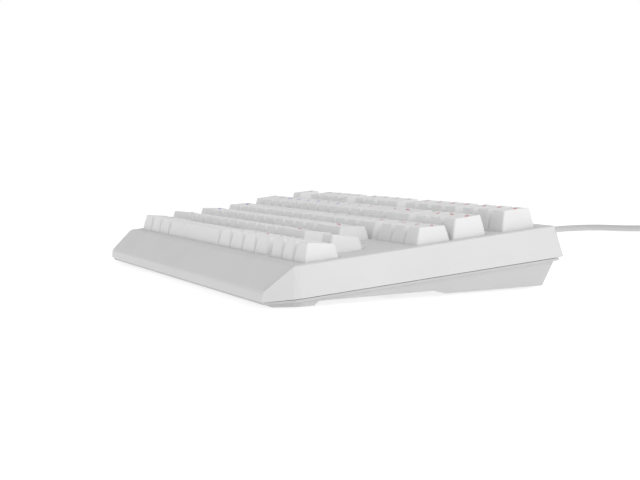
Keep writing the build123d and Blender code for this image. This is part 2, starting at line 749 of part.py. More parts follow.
lead_radii = bend_radii(lead_route)
with BuildPart() as cable_lead:
    with BuildLine() as lead_line:
        FilletPolyline(*lead_route, radius=lead_radii)
    with BuildSketch(Plane(lead_line.line @ 0, z_dir=lead_line.line % 0)):
        Circle(cord_diameter / 2)
    sweep()
write(cable_lead, "cable_lead")
lead_length = sum(edge.length for edge in lead_line.edges())
tube_ratio = cable_lead.part.volume / (pi * cord_diameter**2 / 4 * lead_length)
print("cable radii", [round(r, 1) for r in lead_radii])
print("cable lead length", round(lead_length, 1), "volume over section times length", round(tube_ratio, 4))

coil_inner = coil_radius - coil_turns_wide / 2 * cord_diameter
coil_outer = coil_radius + coil_turns_wide / 2 * cord_diameter
coil_height = coil_turns_high * cord_diameter
with BuildPart() as cable_coil:
    with BuildSketch(Plane.XY):
        with Locations(coil_centre):
            Circle(coil_outer)
            Circle(coil_inner, mode=Mode.SUBTRACT)
    extrude(amount=coil_height)
    chamfer(cable_coil.edges(), length=1.2)
write(cable_coil, "cable_coil")

tie_width, tie_thickness = 10.0, 0.9
with BuildPart() as coil_tie:
    across = coil_outer - coil_inner
    with BuildSketch(Plane.XZ.offset(-coil_centre[1] - tie_width / 2)):
        with Locations((coil_centre[0] - coil_radius, (coil_height + tie_thickness) / 2)):
            RectangleRounded(across + 2 * tie_thickness, coil_height + tie_thickness, 3)
        with Locations((coil_centre[0] - coil_radius, (coil_height + tie_thickness) / 2)):
            RectangleRounded(across, coil_height - tie_thickness, 2.1, mode=Mode.SUBTRACT)
    extrude(amount=tie_width)
write(coil_tie, "coil_tie")

plug_y, plug_height = coil_centre[1] + coil_outer + cord_diameter / 2, 4.0
plug_start = coil_centre[0] - 3.0
plug_axis = Plane(origin=(plug_start, plug_y, plug_height), x_dir=(0, 1, 0), z_dir=(-1, 0, 0))
relief_length, grip_length, shell_length = 18.0, 22.0, 14.5
grip_size, shell_size, shell_gauge = (15.6, 8.0), (12.0, 4.5), 0.4
with BuildPart() as plug_grip:
    with BuildSketch(plug_axis):
        Circle(3.0)
    with BuildSketch(plug_axis.offset(relief_length)):
        Circle(3.9)
    loft()
    with BuildSketch(plug_axis.offset(relief_length)):
        RectangleRounded(grip_size[0], grip_size[1], 1.8)
    extrude(amount=grip_length)
with BuildPart() as plug_shell:
    with BuildSketch(plug_axis.offset(relief_length + grip_length)):
        Rectangle(shell_size[0], shell_size[1])
        Rectangle(shell_size[0] - 2 * shell_gauge, shell_size[1] - 2 * shell_gauge, mode=Mode.SUBTRACT)
    extrude(amount=shell_length)
    with BuildSketch(plug_axis.offset(relief_length + grip_length)):
        Rectangle(shell_size[0] - 2 * shell_gauge, shell_size[1] - 2 * shell_gauge)
    extrude(amount=1.5)
with BuildPart() as plug_tongue:
    with BuildSketch(plug_axis.offset(relief_length + grip_length + 1.5)):
        with Locations((0, -0.9)):
            Rectangle(shell_size[0] - 2 * shell_gauge - 0.1, 1.8)
    extrude(amount=shell_length - 2.0)
plug_solids = [*plug_grip.part.solids(), *plug_shell.part.solids(), *plug_tongue.part.solids()]
export_step(Compound(label="usb_plug", children=plug_solids), "parts/usb_plug.step")
print("built", len(keys), "key nodes and", len(switch_places), "switches")
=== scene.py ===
"""Tenkeyless wired keyboard: the looks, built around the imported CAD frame."""
import json
import math

import bmesh
import bpy
from mathutils import Matrix, Vector

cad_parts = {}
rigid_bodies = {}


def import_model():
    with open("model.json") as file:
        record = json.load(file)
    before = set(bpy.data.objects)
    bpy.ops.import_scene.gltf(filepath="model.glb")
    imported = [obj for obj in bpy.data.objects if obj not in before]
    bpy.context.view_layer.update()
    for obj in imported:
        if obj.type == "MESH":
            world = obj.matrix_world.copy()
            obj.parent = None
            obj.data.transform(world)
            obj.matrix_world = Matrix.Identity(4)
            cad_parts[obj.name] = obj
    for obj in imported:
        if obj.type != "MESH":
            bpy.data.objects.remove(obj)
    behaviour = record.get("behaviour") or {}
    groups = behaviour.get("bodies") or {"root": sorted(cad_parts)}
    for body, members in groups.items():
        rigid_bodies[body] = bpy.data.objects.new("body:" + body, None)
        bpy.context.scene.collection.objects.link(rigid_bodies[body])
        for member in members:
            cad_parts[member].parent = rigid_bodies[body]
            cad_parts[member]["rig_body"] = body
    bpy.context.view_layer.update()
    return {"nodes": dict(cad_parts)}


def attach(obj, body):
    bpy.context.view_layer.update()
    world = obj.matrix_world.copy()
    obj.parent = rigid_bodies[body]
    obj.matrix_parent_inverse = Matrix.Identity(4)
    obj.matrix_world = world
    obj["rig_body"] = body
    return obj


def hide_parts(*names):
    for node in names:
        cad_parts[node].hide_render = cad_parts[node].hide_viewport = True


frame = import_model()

MM = 0.001

# ---------------------------------------------------------------- sizes shared with the CAD source (mm)
TYPING_ANGLE = math.radians(4.5)
BEZEL_ORIGIN = Vector((0.0, -54.6, 20.2))
PITCH = 19.05
ROW_OFFSET = 8.76
BLOCK_WIDTH = 18.25 * PITCH
SKIRT_BOTTOM = -2.0
HOUSING_TOP = -1.4
STEM_TOP = 2.2
SLIDER_BOTTOM = -7.8
SWITCH_SLIDER = (7.0, 5.6)
GUIDE_SLIDER = (5.4, 5.6)
CAP_GAP = 0.9
CAP_DEPTH = 18.1
CAP_TOP_INSET = 6.3
CAP_TOP_FRONT = -5.35
CAP_TOP_REAR = 8.35
CORD_DIAMETER = 4.2
COIL_CENTRE = (-111.0, 356.0)

ROW_HEIGHT = {"bottom": 0.0, "shift": 1.0, "home": 2.0, "upper": 3.0, "number": 4.0, "function": 5.375}
CAP_TOPS = {
    "bottom": (9.2, 6.7),
    "shift": (9.3, 6.2),
    "home": (8.7, 6.7),
    "upper": (8.3, 7.5),
    "number": (9.9, 10.0),
    "function": (10.2, 9.9),
}


def single(row, left, units, legend):
    return row, [(left, units, legend)]


def bank(row, left, legends):
    """Neighbouring one-unit keys that share a CAD node."""
    return row, [(left + i, 1.0, legend) for i, legend in enumerate(legends)]


KEYS = {
    "left_ctrl": single("bottom", 0, 1.25, "Ctrl"),
    "left_meta": single("bottom", 1.25, 1.25, "Meta"),
    "left_alt": single("bottom", 2.5, 1.25, "Alt"),
    "space_bar": single("bottom", 3.75, 6.25, ""),
    "right_alt": single("bottom", 10, 1.25, "Alt"),
    "fn_key": single("bottom", 11.25, 1.25, "Fn"),
    "menu_key": single("bottom", 12.5, 1.25, "Menu"),
    "right_ctrl": single("bottom", 13.75, 1.25, "Ctrl"),
    "arrow_left": single("bottom", 15.25, 1, "arrow 180"),
    "arrow_down": single("bottom", 16.25, 1, "arrow 270"),
    "arrow_right": single("bottom", 17.25, 1, "arrow 0"),
    "left_shift": single("shift", 0, 2.25, "Shift"),
    "shift_row_left_keys": bank("shift", 2.25, ["Z", "X", "C", "V", "B"]),
    "shift_row_right_keys": bank("shift", 7.25, ["N", "M", "< ,", "> .", "? /"]),
    "right_shift": single("shift", 12.25, 2.75, "Shift"),
    "arrow_up": single("shift", 16.25, 1, "arrow 90"),
    "caps_lock": single("home", 0, 1.75, "Caps"),
    "home_row_left_keys": bank("home", 1.75, ["A", "S", "D", "F"]),
    "home_row_middle_keys": bank("home", 5.75, ["G", "H", "J", "K"]),
    "home_row_right_keys": bank("home", 9.75, ["L", ": ;", "\" '"]),
    "enter_key": single("home", 12.75, 2.25, "Enter"),
    "tab_key": single("upper", 0, 1.5, "Tab"),
    "upper_row_left_keys": bank("upper", 1.5, ["Q", "W", "E", "R"]),
    "upper_row_middle_keys": bank("upper", 5.5, ["T", "Y", "U", "I"]),
    "upper_row_right_keys": bank("upper", 9.5, ["O", "P", "{ [", "} ]"]),
    "backslash_key": single("upper", 13.5, 1.5, "| \\"),
    "delete_key": single("upper", 15.25, 1, "Del"),
    "end_key": single("upper", 16.25, 1, "End"),
    "page_down_key": single("upper", 17.25, 1, "PgDn"),
    "number_row_left_keys": bank("number", 0, ["~ `", "! 1", "@ 2", "# 3", "$ 4"]),
    "number_row_middle_keys": bank("number", 5, ["% 5", "^ 6", "& 7", "* 8"]),
    "number_row_right_keys": bank("number", 9, ["( 9", ") 0", "_ -", "+ ="]),
    "backspace_key": single("number", 13, 2, "Back"),
    "insert_key": single("number", 15.25, 1, "Ins"),
    "home_key": single("number", 16.25, 1, "Home"),
    "page_up_key": single("number", 17.25, 1, "PgUp"),
    "escape_key": single("function", 0, 1, "Esc"),
    "function_keys_1_to_4": bank("function", 2, ["F1", "F2", "F3", "F4"]),
    "function_keys_5_to_8": bank("function", 6.5, ["F5", "F6", "F7", "F8"]),
    "function_keys_9_to_12": bank("function", 11, ["F9", "F10", "F11", "F12"]),
    "print_screen_key": single("function", 15.25, 1, "PrtSc"),
    "scroll_lock_key": single("function", 16.25, 1, "ScrLk"),
    "pause_key": single("function", 17.25, 1, "Pause"),
}

typing_to_world = Matrix.Translation(BEZEL_ORIGIN) @ Matrix.Rotation(TYPING_ANGLE, 4, "X")


def key_centre(row, left, units):
    return (left + units / 2) * PITCH - BLOCK_WIDTH / 2, ROW_HEIGHT[row] * PITCH + ROW_OFFSET


def to_world(x, y, z):
    """A point of the typing frame in mm, as a row-frame point in metres."""
    return typing_to_world @ Vector((x, y, z)) * MM


# ---------------------------------------------------------------- materials


class Shader:
    """A small helper that builds one node material around a Principled shader."""

    def __init__(self, name, color, roughness, **settings):
        self.material = bpy.data.materials.new(name)
        self.material.use_nodes = True
        self.material.diffuse_color = (*color, 1.0)
        self.tree = self.material.node_tree
        self.principled = self.tree.nodes["Principled BSDF"]
        self.principled.inputs["Base Color"].default_value = (*color, 1.0)
        self.principled.inputs["Roughness"].default_value = roughness
        for key, value in settings.items():
            self.principled.inputs[key.replace("_", " ")].default_value = value
        self.place = self.node("ShaderNodeTexCoord").outputs["Object"]

    def node(self, kind, **settings):
        made = self.tree.nodes.new(kind)
        for key, value in settings.items():
            setattr(made, key, value)
        return made

    def link(self, source, target):
        self.tree.links.new(source, target)

    def noise(self, scale, detail=2.0, stretch=(1, 1, 1)):
        mapping = self.node("ShaderNodeMapping")
        mapping.inputs["Scale"].default_value = stretch
        self.link(self.place, mapping.inputs["Vector"])
        noise = self.node("ShaderNodeTexNoise")
        noise.inputs["Scale"].default_value = scale
        noise.inputs["Detail"].default_value = detail
        self.link(mapping.outputs["Vector"], noise.inputs["Vector"])
        return noise.outputs["Fac"]

    def spread(self, source, low, high):
        """Maps a 0.3 to 0.7 value onto low to high."""
        ranged = self.node("ShaderNodeMapRange")
        ranged.inputs["From Min"].default_value = 0.3
        ranged.inputs["From Max"].default_value = 0.7
        ranged.inputs["To Min"].default_value = low
        ranged.inputs["To Max"].default_value = high
        self.link(source, ranged.inputs["Value"])
        return ranged.outputs["Result"]

    def tint(self, source, dark, light):
        mix = self.node("ShaderNodeMix", data_type="RGBA")
        mix.inputs["A"].default_value = (*dark, 1.0)
        mix.inputs["B"].default_value = (*light, 1.0)
        self.link(self.spread(source, 0.0, 1.0), mix.inputs["Factor"])
        self.link(mix.outputs["Result"], self.principled.inputs["Base Color"])

    def bump(self, source, distance, strength):
        bump = self.node("ShaderNodeBump")
        bump.inputs["Distance"].default_value = distance
        bump.inputs["Strength"].default_value = strength
        self.link(source, bump.inputs["Height"])
        self.link(bump.outputs["Normal"], self.principled.inputs["Normal"])

    def rough(self, source, low, high):
        self.link(self.spread(source, low, high), self.principled.inputs["Roughness"])


def moulded_plastic(name, color, roughness, grain=0.00002, grain_scale=2600.0):
    """Satin moulded plastic: fine spark texture, faint flow marks and a slow colour drift."""
    shader = Shader(name, color, roughness)
    fine = shader.noise(grain_scale, 3.0)
    slow = shader.noise(18.0, 3.0)
    shader.tint(slow, tuple(c * 0.975 for c in color), tuple(min(1.0, c * 1.02) for c in color))
    shader.rough(shader.noise(60.0, 4.0), roughness - 0.05, roughness + 0.06)
    shader.bump(fine, grain, 0.55)
    return shader.material


def lit_legend():
    """Light that comes through the legends: red on the right, through magenta to blue on the left."""
    shader = Shader("legend_light", (0.8, 0.1, 0.1), 0.4)
    split = shader.node("ShaderNodeSeparateXYZ")
    shader.link(shader.node("ShaderNodeNewGeometry").outputs["Position"], split.inputs["Vector"])
    ramp = shader.node("ShaderNodeValToRGB")
    across = shader.node("ShaderNodeMapRange")
    across.inputs["From Min"].default_value = -0.18
    across.inputs["From Max"].default_value = 0.18
    shader.link(split.outputs["X"], across.inputs["Value"])
    shader.link(across.outputs["Result"], ramp.inputs["Fac"])
    stops = ramp.color_ramp.elements
    stops[0].color = (0.16, 0.18, 0.60, 1)
    stops[1].color = (0.52, 0.05, 0.05, 1)
    between = [
        (0.35, (0.22, 0.12, 0.55, 1)),
        (0.6, (0.45, 0.08, 0.35, 1)),
        (0.78, (0.52, 0.05, 0.1, 1)),
    ]
    for position, color in between:
        stop = stops.new(position)
        stop.color = color
    shader.link(ramp.outputs["Color"], shader.principled.inputs["Base Color"])
    shader.link(ramp.outputs["Color"], shader.principled.inputs["Emission Color"])
    shader.principled.inputs["Emission Strength"].default_value = 0.12
    return shader.material


def metal(name, color, roughness, stretch=(1, 1, 1)):
    shader = Shader(name, color, roughness, Metallic=1.0)
    grain = shader.noise(900.0, 3.0, stretch)
    shader.rough(grain, roughness - 0.08, roughness + 0.12)
    shader.tint(shader.noise(40.0, 3.0), tuple(c * 0.9 for c in color), color)
    shader.bump(grain, 0.00001, 0.4)
    return shader.material


def cord_jacket():
    """Grey PVC jacket: satin, with a faint orange-peel and slow bloom in its colour."""
    shader = Shader("cord_jacket_pvc", (0.58, 0.58, 0.58), 0.42)
    shader.tint(shader.noise(30.0, 4.0), (0.55, 0.55, 0.55), (0.61, 0.61, 0.61))
    shader.rough(shader.noise(200.0, 3.0), 0.34, 0.5)
    shader.bump(shader.noise(1500.0, 2.0), 0.00002, 0.5)
    return shader.material


def rubber():
    shader = Shader("pad_rubber_grey", (0.30, 0.30, 0.31), 0.75)
    shader.tint(shader.noise(120.0, 4.0), (0.26, 0.26, 0.27), (0.33, 0.33, 0.34))
    shader.bump(shader.noise(2400.0, 3.0), 0.00004, 0.7)
    return shader.material


def circuit():
    """Solder mask over copper tracks."""
    shader = Shader("board_mask", (0.03, 0.16, 0.08), 0.35)
    tracks = shader.node("ShaderNodeTexBrick")
    tracks.inputs["Scale"].default_value = 220.0
    tracks.inputs["Color1"].default_value = (0.03, 0.17, 0.08, 1)
    tracks.inputs["Color2"].default_value = (0.025, 0.15, 0.07, 1)
    tracks.inputs["Mortar"].default_value = (0.05, 0.24, 0.12, 1)
    shader.link(shader.place, tracks.inputs["Vector"])
    shader.link(tracks.outputs["Color"], shader.principled.inputs["Base Color"])
    shader.bump(tracks.outputs["Fac"], 0.00003, 0.5)
    return shader.material


def strap():
    """Woven hook-and-loop strap."""
    shader = Shader("tie_weave", (0.05, 0.05, 0.055), 0.9, Sheen_Weight=0.4)
    waves = shader.node("ShaderNodeTexWave", wave_type="BANDS", bands_direction="DIAGONAL")
    waves.inputs["Scale"].default_value = 900.0
    waves.inputs["Distortion"].default_value = 1.5
    shader.link(shader.place, waves.inputs["Vector"])
    shader.tint(waves.outputs["Fac"], (0.03, 0.03, 0.033), (0.08, 0.08, 0.085))
    shader.bump(waves.outputs["Fac"], 0.0001, 0.8)
    return shader.material


def clear_lens():
    shader = Shader("lens_plastic", (0.9, 0.9, 0.9), 0.2, Transmission_Weight=0.6)
    shader.rough(shader.noise(400.0, 2.0), 0.15, 0.3)
    return shader.material


case_white = moulded_plastic("case_plastic_white", (0.69, 0.69, 0.69), 0.50, 0.00003)
# the tray is drawn a darker grey than the case: partly a greyer tone of its own, partly painted shade of its
# low sides and rim, which sit in shadow
tray_grey_with_painted_shade = moulded_plastic("tray_plastic_grey_with_painted_shade", (0.56, 0.56, 0.56), 0.55, 0.00004)
cap_white = moulded_plastic("cap_plastic_white", (0.835, 0.835, 0.835), 0.42, 0.00001, 3500.0)
switch_grey = moulded_plastic("switch_plastic", (0.36, 0.36, 0.37), 0.35)
# the feet are drawn a dark grey, well below the white case, as painted shade: the dark contact-shadow strip
# under the tray
foot_painted_shade_grey = moulded_plastic("foot_plastic_painted_shade", (0.42, 0.42, 0.42), 0.55)
plug_grey = moulded_plastic("plug_plastic_grey", (0.50, 0.50, 0.50), 0.45)
plate_paint = moulded_plastic("plate_powder_coat", (0.45, 0.45, 0.45), 0.5, 0.00006, 1500.0)
legend_glow = lit_legend()
steel = metal("spring_wire_steel", (0.62, 0.61, 0.58), 0.28)
dark_steel = metal("screw_zinc", (0.20, 0.20, 0.21), 0.38)
shell_nickel = metal("plug_shell_nickel", (0.75, 0.75, 0.74), 0.22, (1, 8, 8))
gold = metal("contact_gold", (0.85, 0.62, 0.25), 0.22)
jacket = cord_jacket()
pad_grey = rubber()
board_green = circuit()
tie_black = strap()
lens_clear = clear_lens()

# ---------------------------------------------------------------- mesh helpers
SHARP_ANGLE = math.radians(28)


def new_piece(name, bm, body, materials, smooth_angle=35.0):
    """A finished mesh object that rides on a CAD body."""
    mesh = bpy.data.meshes.new(name)
    bm.normal_update()
    bm.to_mesh(mesh)
    bm.free()
    piece = bpy.data.objects.new(name, mesh)
    bpy.context.scene.collection.objects.link(piece)
    for material in materials:
        mesh.materials.append(material)
    mesh.shade_smooth()
    mesh.set_sharp_from_angle(angle=math.radians(smooth_angle))
    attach(piece, body)
    return piece


def apply_modifiers(piece):
    """Replaces the mesh by its modified copy."""
    graph = bpy.context.evaluated_depsgraph_get()
    made = bpy.data.meshes.new_from_object(piece.evaluated_get(graph), depsgraph=graph)
    piece.modifiers.clear()
    old = piece.data
    piece.data = made
    bpy.data.meshes.remove(old)


def weight_normals(piece):
    weighted = piece.modifiers.new("weighted", "WEIGHTED_NORMAL")
    weighted.keep_sharp = True
    weighted.weight = 80
    apply_modifiers(piece)


def mark_long_edges(bm, shortest):
    """Marks the sharp edges that are long enough to be rounded, on a mesh of simple faces."""
    many_sided = [face for face in bm.faces if len(face.verts) > 4]
    bmesh.ops.triangulate(bm, faces=many_sided)
    weight = bm.edges.layers.float.new("bevel_weight_edge")
    for edge in bm.edges:
        if edge.is_manifold and edge.calc_face_angle() > SHARP_ANGLE and edge.calc_length() > shortest:
            edge[weight] = 1.0


def rounded_copy(node, name, material, width, segments=3, keep=None, shortest=0.0):
    """A copy of a CAD node that stands for it, with rounded edges, or crisp ones if width is 0."""
    bm = bmesh.new()
    bm.from_mesh(frame["nodes"][node].data)
    bmesh.ops.remove_doubles(bm, verts=bm.verts, dist=1e-6)
    if keep:
        drop = [v for v in bm.verts if not keep(v.co)]
        bmesh.ops.delete(bm, geom=drop, context="VERTS")
    bmesh.ops.dissolve_limit(bm, angle_limit=math.radians(1.0), verts=bm.verts, edges=bm.edges)
    if width:
        mark_long_edges(bm, shortest)
    smooth_angle = 30.0 if width else 20.0
    piece = new_piece(name, bm, frame["nodes"][node]["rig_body"], [material], smooth_angle)
    if width:
        bevel = piece.modifiers.new("edges", "BEVEL")
        bevel.width = width
        bevel.segments = segments
        bevel.limit_method = "WEIGHT"
        bevel.use_clamp_overlap = False
        apply_modifiers(piece)
        piece.data.shade_smooth()
        piece.data.set_sharp_from_angle(angle=math.radians(40))
    weight_normals(piece)
    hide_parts(node)
    return piece


# ---------------------------------------------------------------- keycaps
CORNER_POINTS = 6
CORNER_INSIDE, CORNER_SKIRT, CORNER_WALL, CORNER_RIM, CORNER_TOP = 0.6, 1.2, 0.9, 1.0, 0.7  # radii
CAP_SHELL = 1.4
SKIRT_CHAMFER_IN = CAP_SHELL * 0.15
SKIRT_CHAMFER_UP = 0.25
EDGE_ROUND = 0.5
EDGE_DRAW = EDGE_ROUND * 1.15  # how far the rounded edge reaches in
WALL_BULGE = 0.12
WALL_STEPS = 3
RIM_STEPS = 4
TOP_STEPS = 6
HOLLOW_SHARE = 0.72  # how far up from base to top the hollow's ceiling lies
RIM_SHARE = 0.96
DISH_EDGE = 0.3
DISH_MIDDLE = 0.75
SPACE_BAR_DROP = 0.25
SPACE_BAR_CROWN = 0.55


def ring_shape(x_parts, y_parts):
    """Where each point of a rounded rectangle's ring sits: corner signs, angle and place along the edges."""
    shape = []
    quarters = [((1, -1), -90), ((1, 1), 0), ((-1, 1), 90), ((-1, -1), 180)]
    for index, (corner, start) in enumerate(quarters):
        for step in range(CORNER_POINTS):
            shape.append((corner, corner, 0.0, math.radians(start + 90 * step / (CORNER_POINTS - 1))))
        after = quarters[(index + 1) % 4][0]
        parts = y_parts if index % 2 == 0 else x_parts
        for step in range(1, parts):
            shape.append((corner, after, step / parts, math.radians(start + 90)))
    return shape


def ring_points(shape, low, high, radius):
    """The ring's points for a rectangle from low to high, both (x, y)."""
    points = []
    for corner, after, share, angle in shape:
        ends = []
        for sx, sy in (corner, after):
            x = (high[0] - radius) if sx > 0 else (low[0] + radius)
            y = (high[1] - radius) if sy > 0 else (low[1] + radius)
            ends.append(Vector((x + radius * math.cos(angle), y + radius * math.sin(angle))))
        points.append(ends[0].lerp(ends[1], share))
    return points


def cap_surface(row, units):
    """Returns the height of a cap's top at (x, y), measured from the bezel level."""
    front, rear = CAP_TOPS[row]
    half = (units * PITCH - CAP_TOP_INSET) / 2
    middle, reach = (CAP_TOP_FRONT + CAP_TOP_REAR) / 2, (CAP_TOP_REAR - CAP_TOP_FRONT) / 2

    def height(x, y):
        along = (y - middle) / reach
        plane = (front + rear) / 2 + (rear - front) / 2 * along
        if units > 6:
            return plane - SPACE_BAR_DROP - SPACE_BAR_CROWN * along * along
        across = min(1.0, abs(x) / half)
        inward = max(0.0, 1.0 - along * along)
        return plane - (1.0 - across * across) * (DISH_EDGE + DISH_MIDDLE * inward)

    return height


class CapForm:
    """The nested rounded rectangles of one keycap shell, in mm about the middle of its key."""

    def __init__(self, row, units):
        self.height = cap_surface(row, units)
        self.shape = ring_shape(8 if units < 2 else 16, 6)
        top_half = (units * PITCH - CAP_TOP_INSET) / 2
        self.base = Vector(((units * PITCH - CAP_GAP) / 2, CAP_DEPTH / 2))
        self.top = (Vector((-top_half, CAP_TOP_FRONT)), Vector((top_half, CAP_TOP_REAR)))
        self.rings = []
        self.add_hollow()
        self.add_walls()
        self.add_rim()
        self.add_top()

    def span(self, share, draw):
        """The rectangle a share of the way from the base to the top, drawn in all round."""
        inset = Vector((draw, draw))
        low = (-self.base).lerp(self.top[0], share) + inset
        high = self.base.lerp(self.top[1], share) - inset
        return low, high

    def add_ring(self, low, high, radius, level):
        points = ring_points(self.shape, low, high, radius)
        self.rings.append([Vector((p.x, p.y, level(p.x, p.y))) for p in points])

    def add_hollow(self):
        low, high = self.span(HOLLOW_SHARE, CAP_SHELL)
        self.add_ring(low, high, CORNER_INSIDE, lambda x, y: self.height(x, y) - CAP_SHELL)
        for draw, radius in ((CAP_SHELL, CORNER_INSIDE), (SKIRT_CHAMFER_IN, CORNER_SKIRT)):
            low, high = self.span(0.0, draw)
            self.add_ring(low, high, radius, lambda x, y: SKIRT_BOTTOM)

    def add_walls(self):
        for step in range(WALL_STEPS + 1):
            share = step / WALL_STEPS
            foot = SKIRT_BOTTOM + SKIRT_CHAMFER_UP * (1 - share)

            def level(x, y, share=share, foot=foot):
                return foot + (self.height(x, y) - EDGE_ROUND - foot) * share

            low, high = self.span(share * RIM_SHARE, -WALL_BULGE * math.sin(math.pi * share))
            self.add_ring(low, high, CORNER_WALL + (CORNER_RIM - CORNER_WALL) * share, level)

    def add_rim(self):
        for step in range(1, RIM_STEPS + 1):
            turn = math.radians(90 * step / RIM_STEPS)
            inward = 1 - math.cos(turn)

            def level(x, y, turn=turn):
                return self.height(x, y) - EDGE_ROUND * (1 - math.sin(turn))

            low, high = self.span(RIM_SHARE, EDGE_DRAW * inward)
            self.add_ring(low, high, CORNER_RIM + (CORNER_TOP - CORNER_RIM) * inward, level)

    def add_top(self):
        low, high = self.span(RIM_SHARE, EDGE_DRAW)
        self.centre = (low + high) / 2
        for step in range(1, TOP_STEPS):
            share = 1 - step / TOP_STEPS
            near = self.centre + (low - self.centre) * share
            far = self.centre + (high - self.centre) * share
            self.add_ring(near, far, CORNER_TOP * share, self.height)


def add_cap(bm, row, left, units):
    """One keycap shell: hollow underside, leaning walls, rounded rim and dished top."""
    form = CapForm(row, units)
    x, y = key_centre(row, left, units)
    loops = [[bm.verts.new(to_world(x + p.x, y + p.y, p.z)) for p in ring] for ring in form.rings]
    for inner, outer in zip(loops, loops[1:]):
        for i in range(len(inner)):
            j = (i + 1) % len(inner)
            bm.faces.new((inner[i], inner[j], outer[j], outer[i]))
    peak = form.height(*form.centre)
    closings = [
        (loops[0][::-1], (0.0, 0.0, peak - CAP_SHELL)),
        (loops[-1], (form.centre.x, form.centre.y, peak)),
    ]
    for loop, spot in closings:
        hub = bm.verts.new(to_world(x + spot[0], y + spot[1], spot[2]))
        for i in range(len(loop)):
            bm.faces.new((loop[i], loop[(i + 1) % len(loop)], hub))


def add_prism(bm, outline, low, high, x, y):
    """A straight prism in the typing frame."""
    bottom = [bm.verts.new(to_world(x + px, y + py, low)) for px, py in outline]
    top = [bm.verts.new(to_world(x + px, y + py, high)) for px, py in outline]
    bm.faces.new(bottom[::-1])
    bm.faces.new(top)
    for i in range(len(outline)):
        j = (i + 1) % len(outline)
        bm.faces.new((bottom[i], bottom[j], top[j], top[i]))


def add_stem(bm, x, y, length, width):
    """The switch or stabiliser slider: guided body with a cross post on top."""
    half_l, half_w = length / 2, width / 2
    arm, thin = 2.0, 0.625
    body = [(-half_l, -half_w), (half_l, -half_w), (half_l, half_w), (-half_l, half_w)]
    cross = [
        (-thin, -arm), (thin, -arm), (thin, -thin), (arm, -thin), (arm, thin), (thin, thin),
        (thin, arm), (-thin, arm), (-thin, thin), (-arm, thin), (-arm, -thin), (-thin, -thin),
    ]
    add_prism(bm, body, SLIDER_BOTTOM, HOUSING_TOP, x, y)
    add_prism(bm, cross, HOUSING_TOP + 0.01, STEM_TOP, x, y)


ARROW = [(-1.3, -0.28), (0.1, -0.28), (0.1, -1.0), (1.4, 0.0), (0.1, 1.0), (0.1, 0.28), (-1.3, 0.28)]
LEGEND_Y = 5.0
LEGEND_FROM_LEFT = 5.0
LEGEND_RELIEF = 0.05
LEGEND_LIFT = 0.02
LEGEND_SIZES = [(1, 4.0), (3, 3.3), (8, 2.7)]  # most characters, letter size
SPACE_BAR_GUIDES = 50.0
WIDE_KEY_GUIDES = 11.94


def legend_mesh(text, size):
    """Flat letters with a little thickness, centred on the origin, in mm."""
    curve = bpy.data.curves.new("legend", "FONT")
    curve.body = text
    curve.size = size
    curve.extrude = LEGEND_RELIEF / 2
    curve.resolution_u = 3
    curve.align_x = "CENTER"
    curve.align_y = "CENTER"
    holder = bpy.data.objects.new("legend", curve)
    bpy.context.scene.collection.objects.link(holder)
    graph = bpy.context.evaluated_depsgraph_get()
    mesh = bpy.data.meshes.new_from_object(holder.evaluated_get(graph))
    bpy.data.objects.remove(holder)
    bpy.data.curves.remove(curve)
    return mesh


def legend_place(row, left, units):
    """Returns where a legend's point in mm lands on its cap's dished top, near the rear edge."""
    height = cap_surface(row, units)
    x, y = key_centre(row, left, units)
    spot_x = LEGEND_FROM_LEFT - (units * PITCH - CAP_TOP_INSET) / 2

    def lay(px, py, pz):
        level = height(spot_x + px, LEGEND_Y + py)
        return to_world(x + spot_x + px, y + LEGEND_Y + py, level + LEGEND_LIFT + pz)

    return lay


def add_arrow(bm, degrees, lay):
    """An arrow with a little thickness; returns its faces."""
    turn = Matrix.Rotation(math.radians(degrees), 2)
    outline = [turn @ Vector(p) for p in ARROW]
    low = [bm.verts.new(lay(p.x, p.y, -LEGEND_RELIEF / 2)) for p in outline]
    high = [bm.verts.new(lay(p.x, p.y, LEGEND_RELIEF / 2)) for p in outline]
    faces = [bm.faces.new(low[::-1]), bm.faces.new(high)]
    for i in range(len(outline)):
        j = (i + 1) % len(outline)
        faces.append(bm.faces.new((low[i], low[j], high[j], high[i])))
    return faces


def add_letters(bm, text, lay):
    """Letters with a little thickness; returns their faces."""
    size = next(size for longest, size in LEGEND_SIZES if len(text) <= longest)
    mesh = legend_mesh(text, size)
    verts = [bm.verts.new(lay(*v.co)) for v in mesh.vertices]
    faces = []
    for polygon in mesh.polygons:
        corners = [verts[i] for i in polygon.vertices]
        if len(set(corners)) == len(corners):
            faces.append(bm.faces.new(corners))
    bpy.data.meshes.remove(mesh)
    return faces


def add_legend(bm, text, row, left, units):
    """Letters or an arrow in the second material, on one cap."""
    if not text:
        return
    lay = legend_place(row, left, units)
    if text.startswith("arrow"):
        faces = add_arrow(bm, float(text.split()[1]), lay)
    else:
        faces = add_letters(bm, text, lay)
    for face in faces:
        face.material_index = 1


def guide_spacing(units):
    """How far the stabiliser guides stand from a key's middle, or 0 where it has none."""
    if units > 6:
        return SPACE_BAR_GUIDES
    return WIDE_KEY_GUIDES if units >= 2 else 0.0


def make_keys():
    for node, (row, caps) in KEYS.items():
        bm = bmesh.new()
        for left, units, legend in caps:
            x, y = key_centre(row, left, units)
            add_cap(bm, row, left, units)
            add_stem(bm, x, y, *SWITCH_SLIDER)
            spacing = guide_spacing(units)
            for offset in (-spacing, spacing) if spacing else ():
                add_stem(bm, x + offset, y, *GUIDE_SLIDER)
            add_legend(bm, legend, row, left, units)
        piece = new_piece(node + "_cap", bm, node + "_body", [cap_white, legend_glow], 32.0)
        weight_normals(piece)
        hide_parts(node)


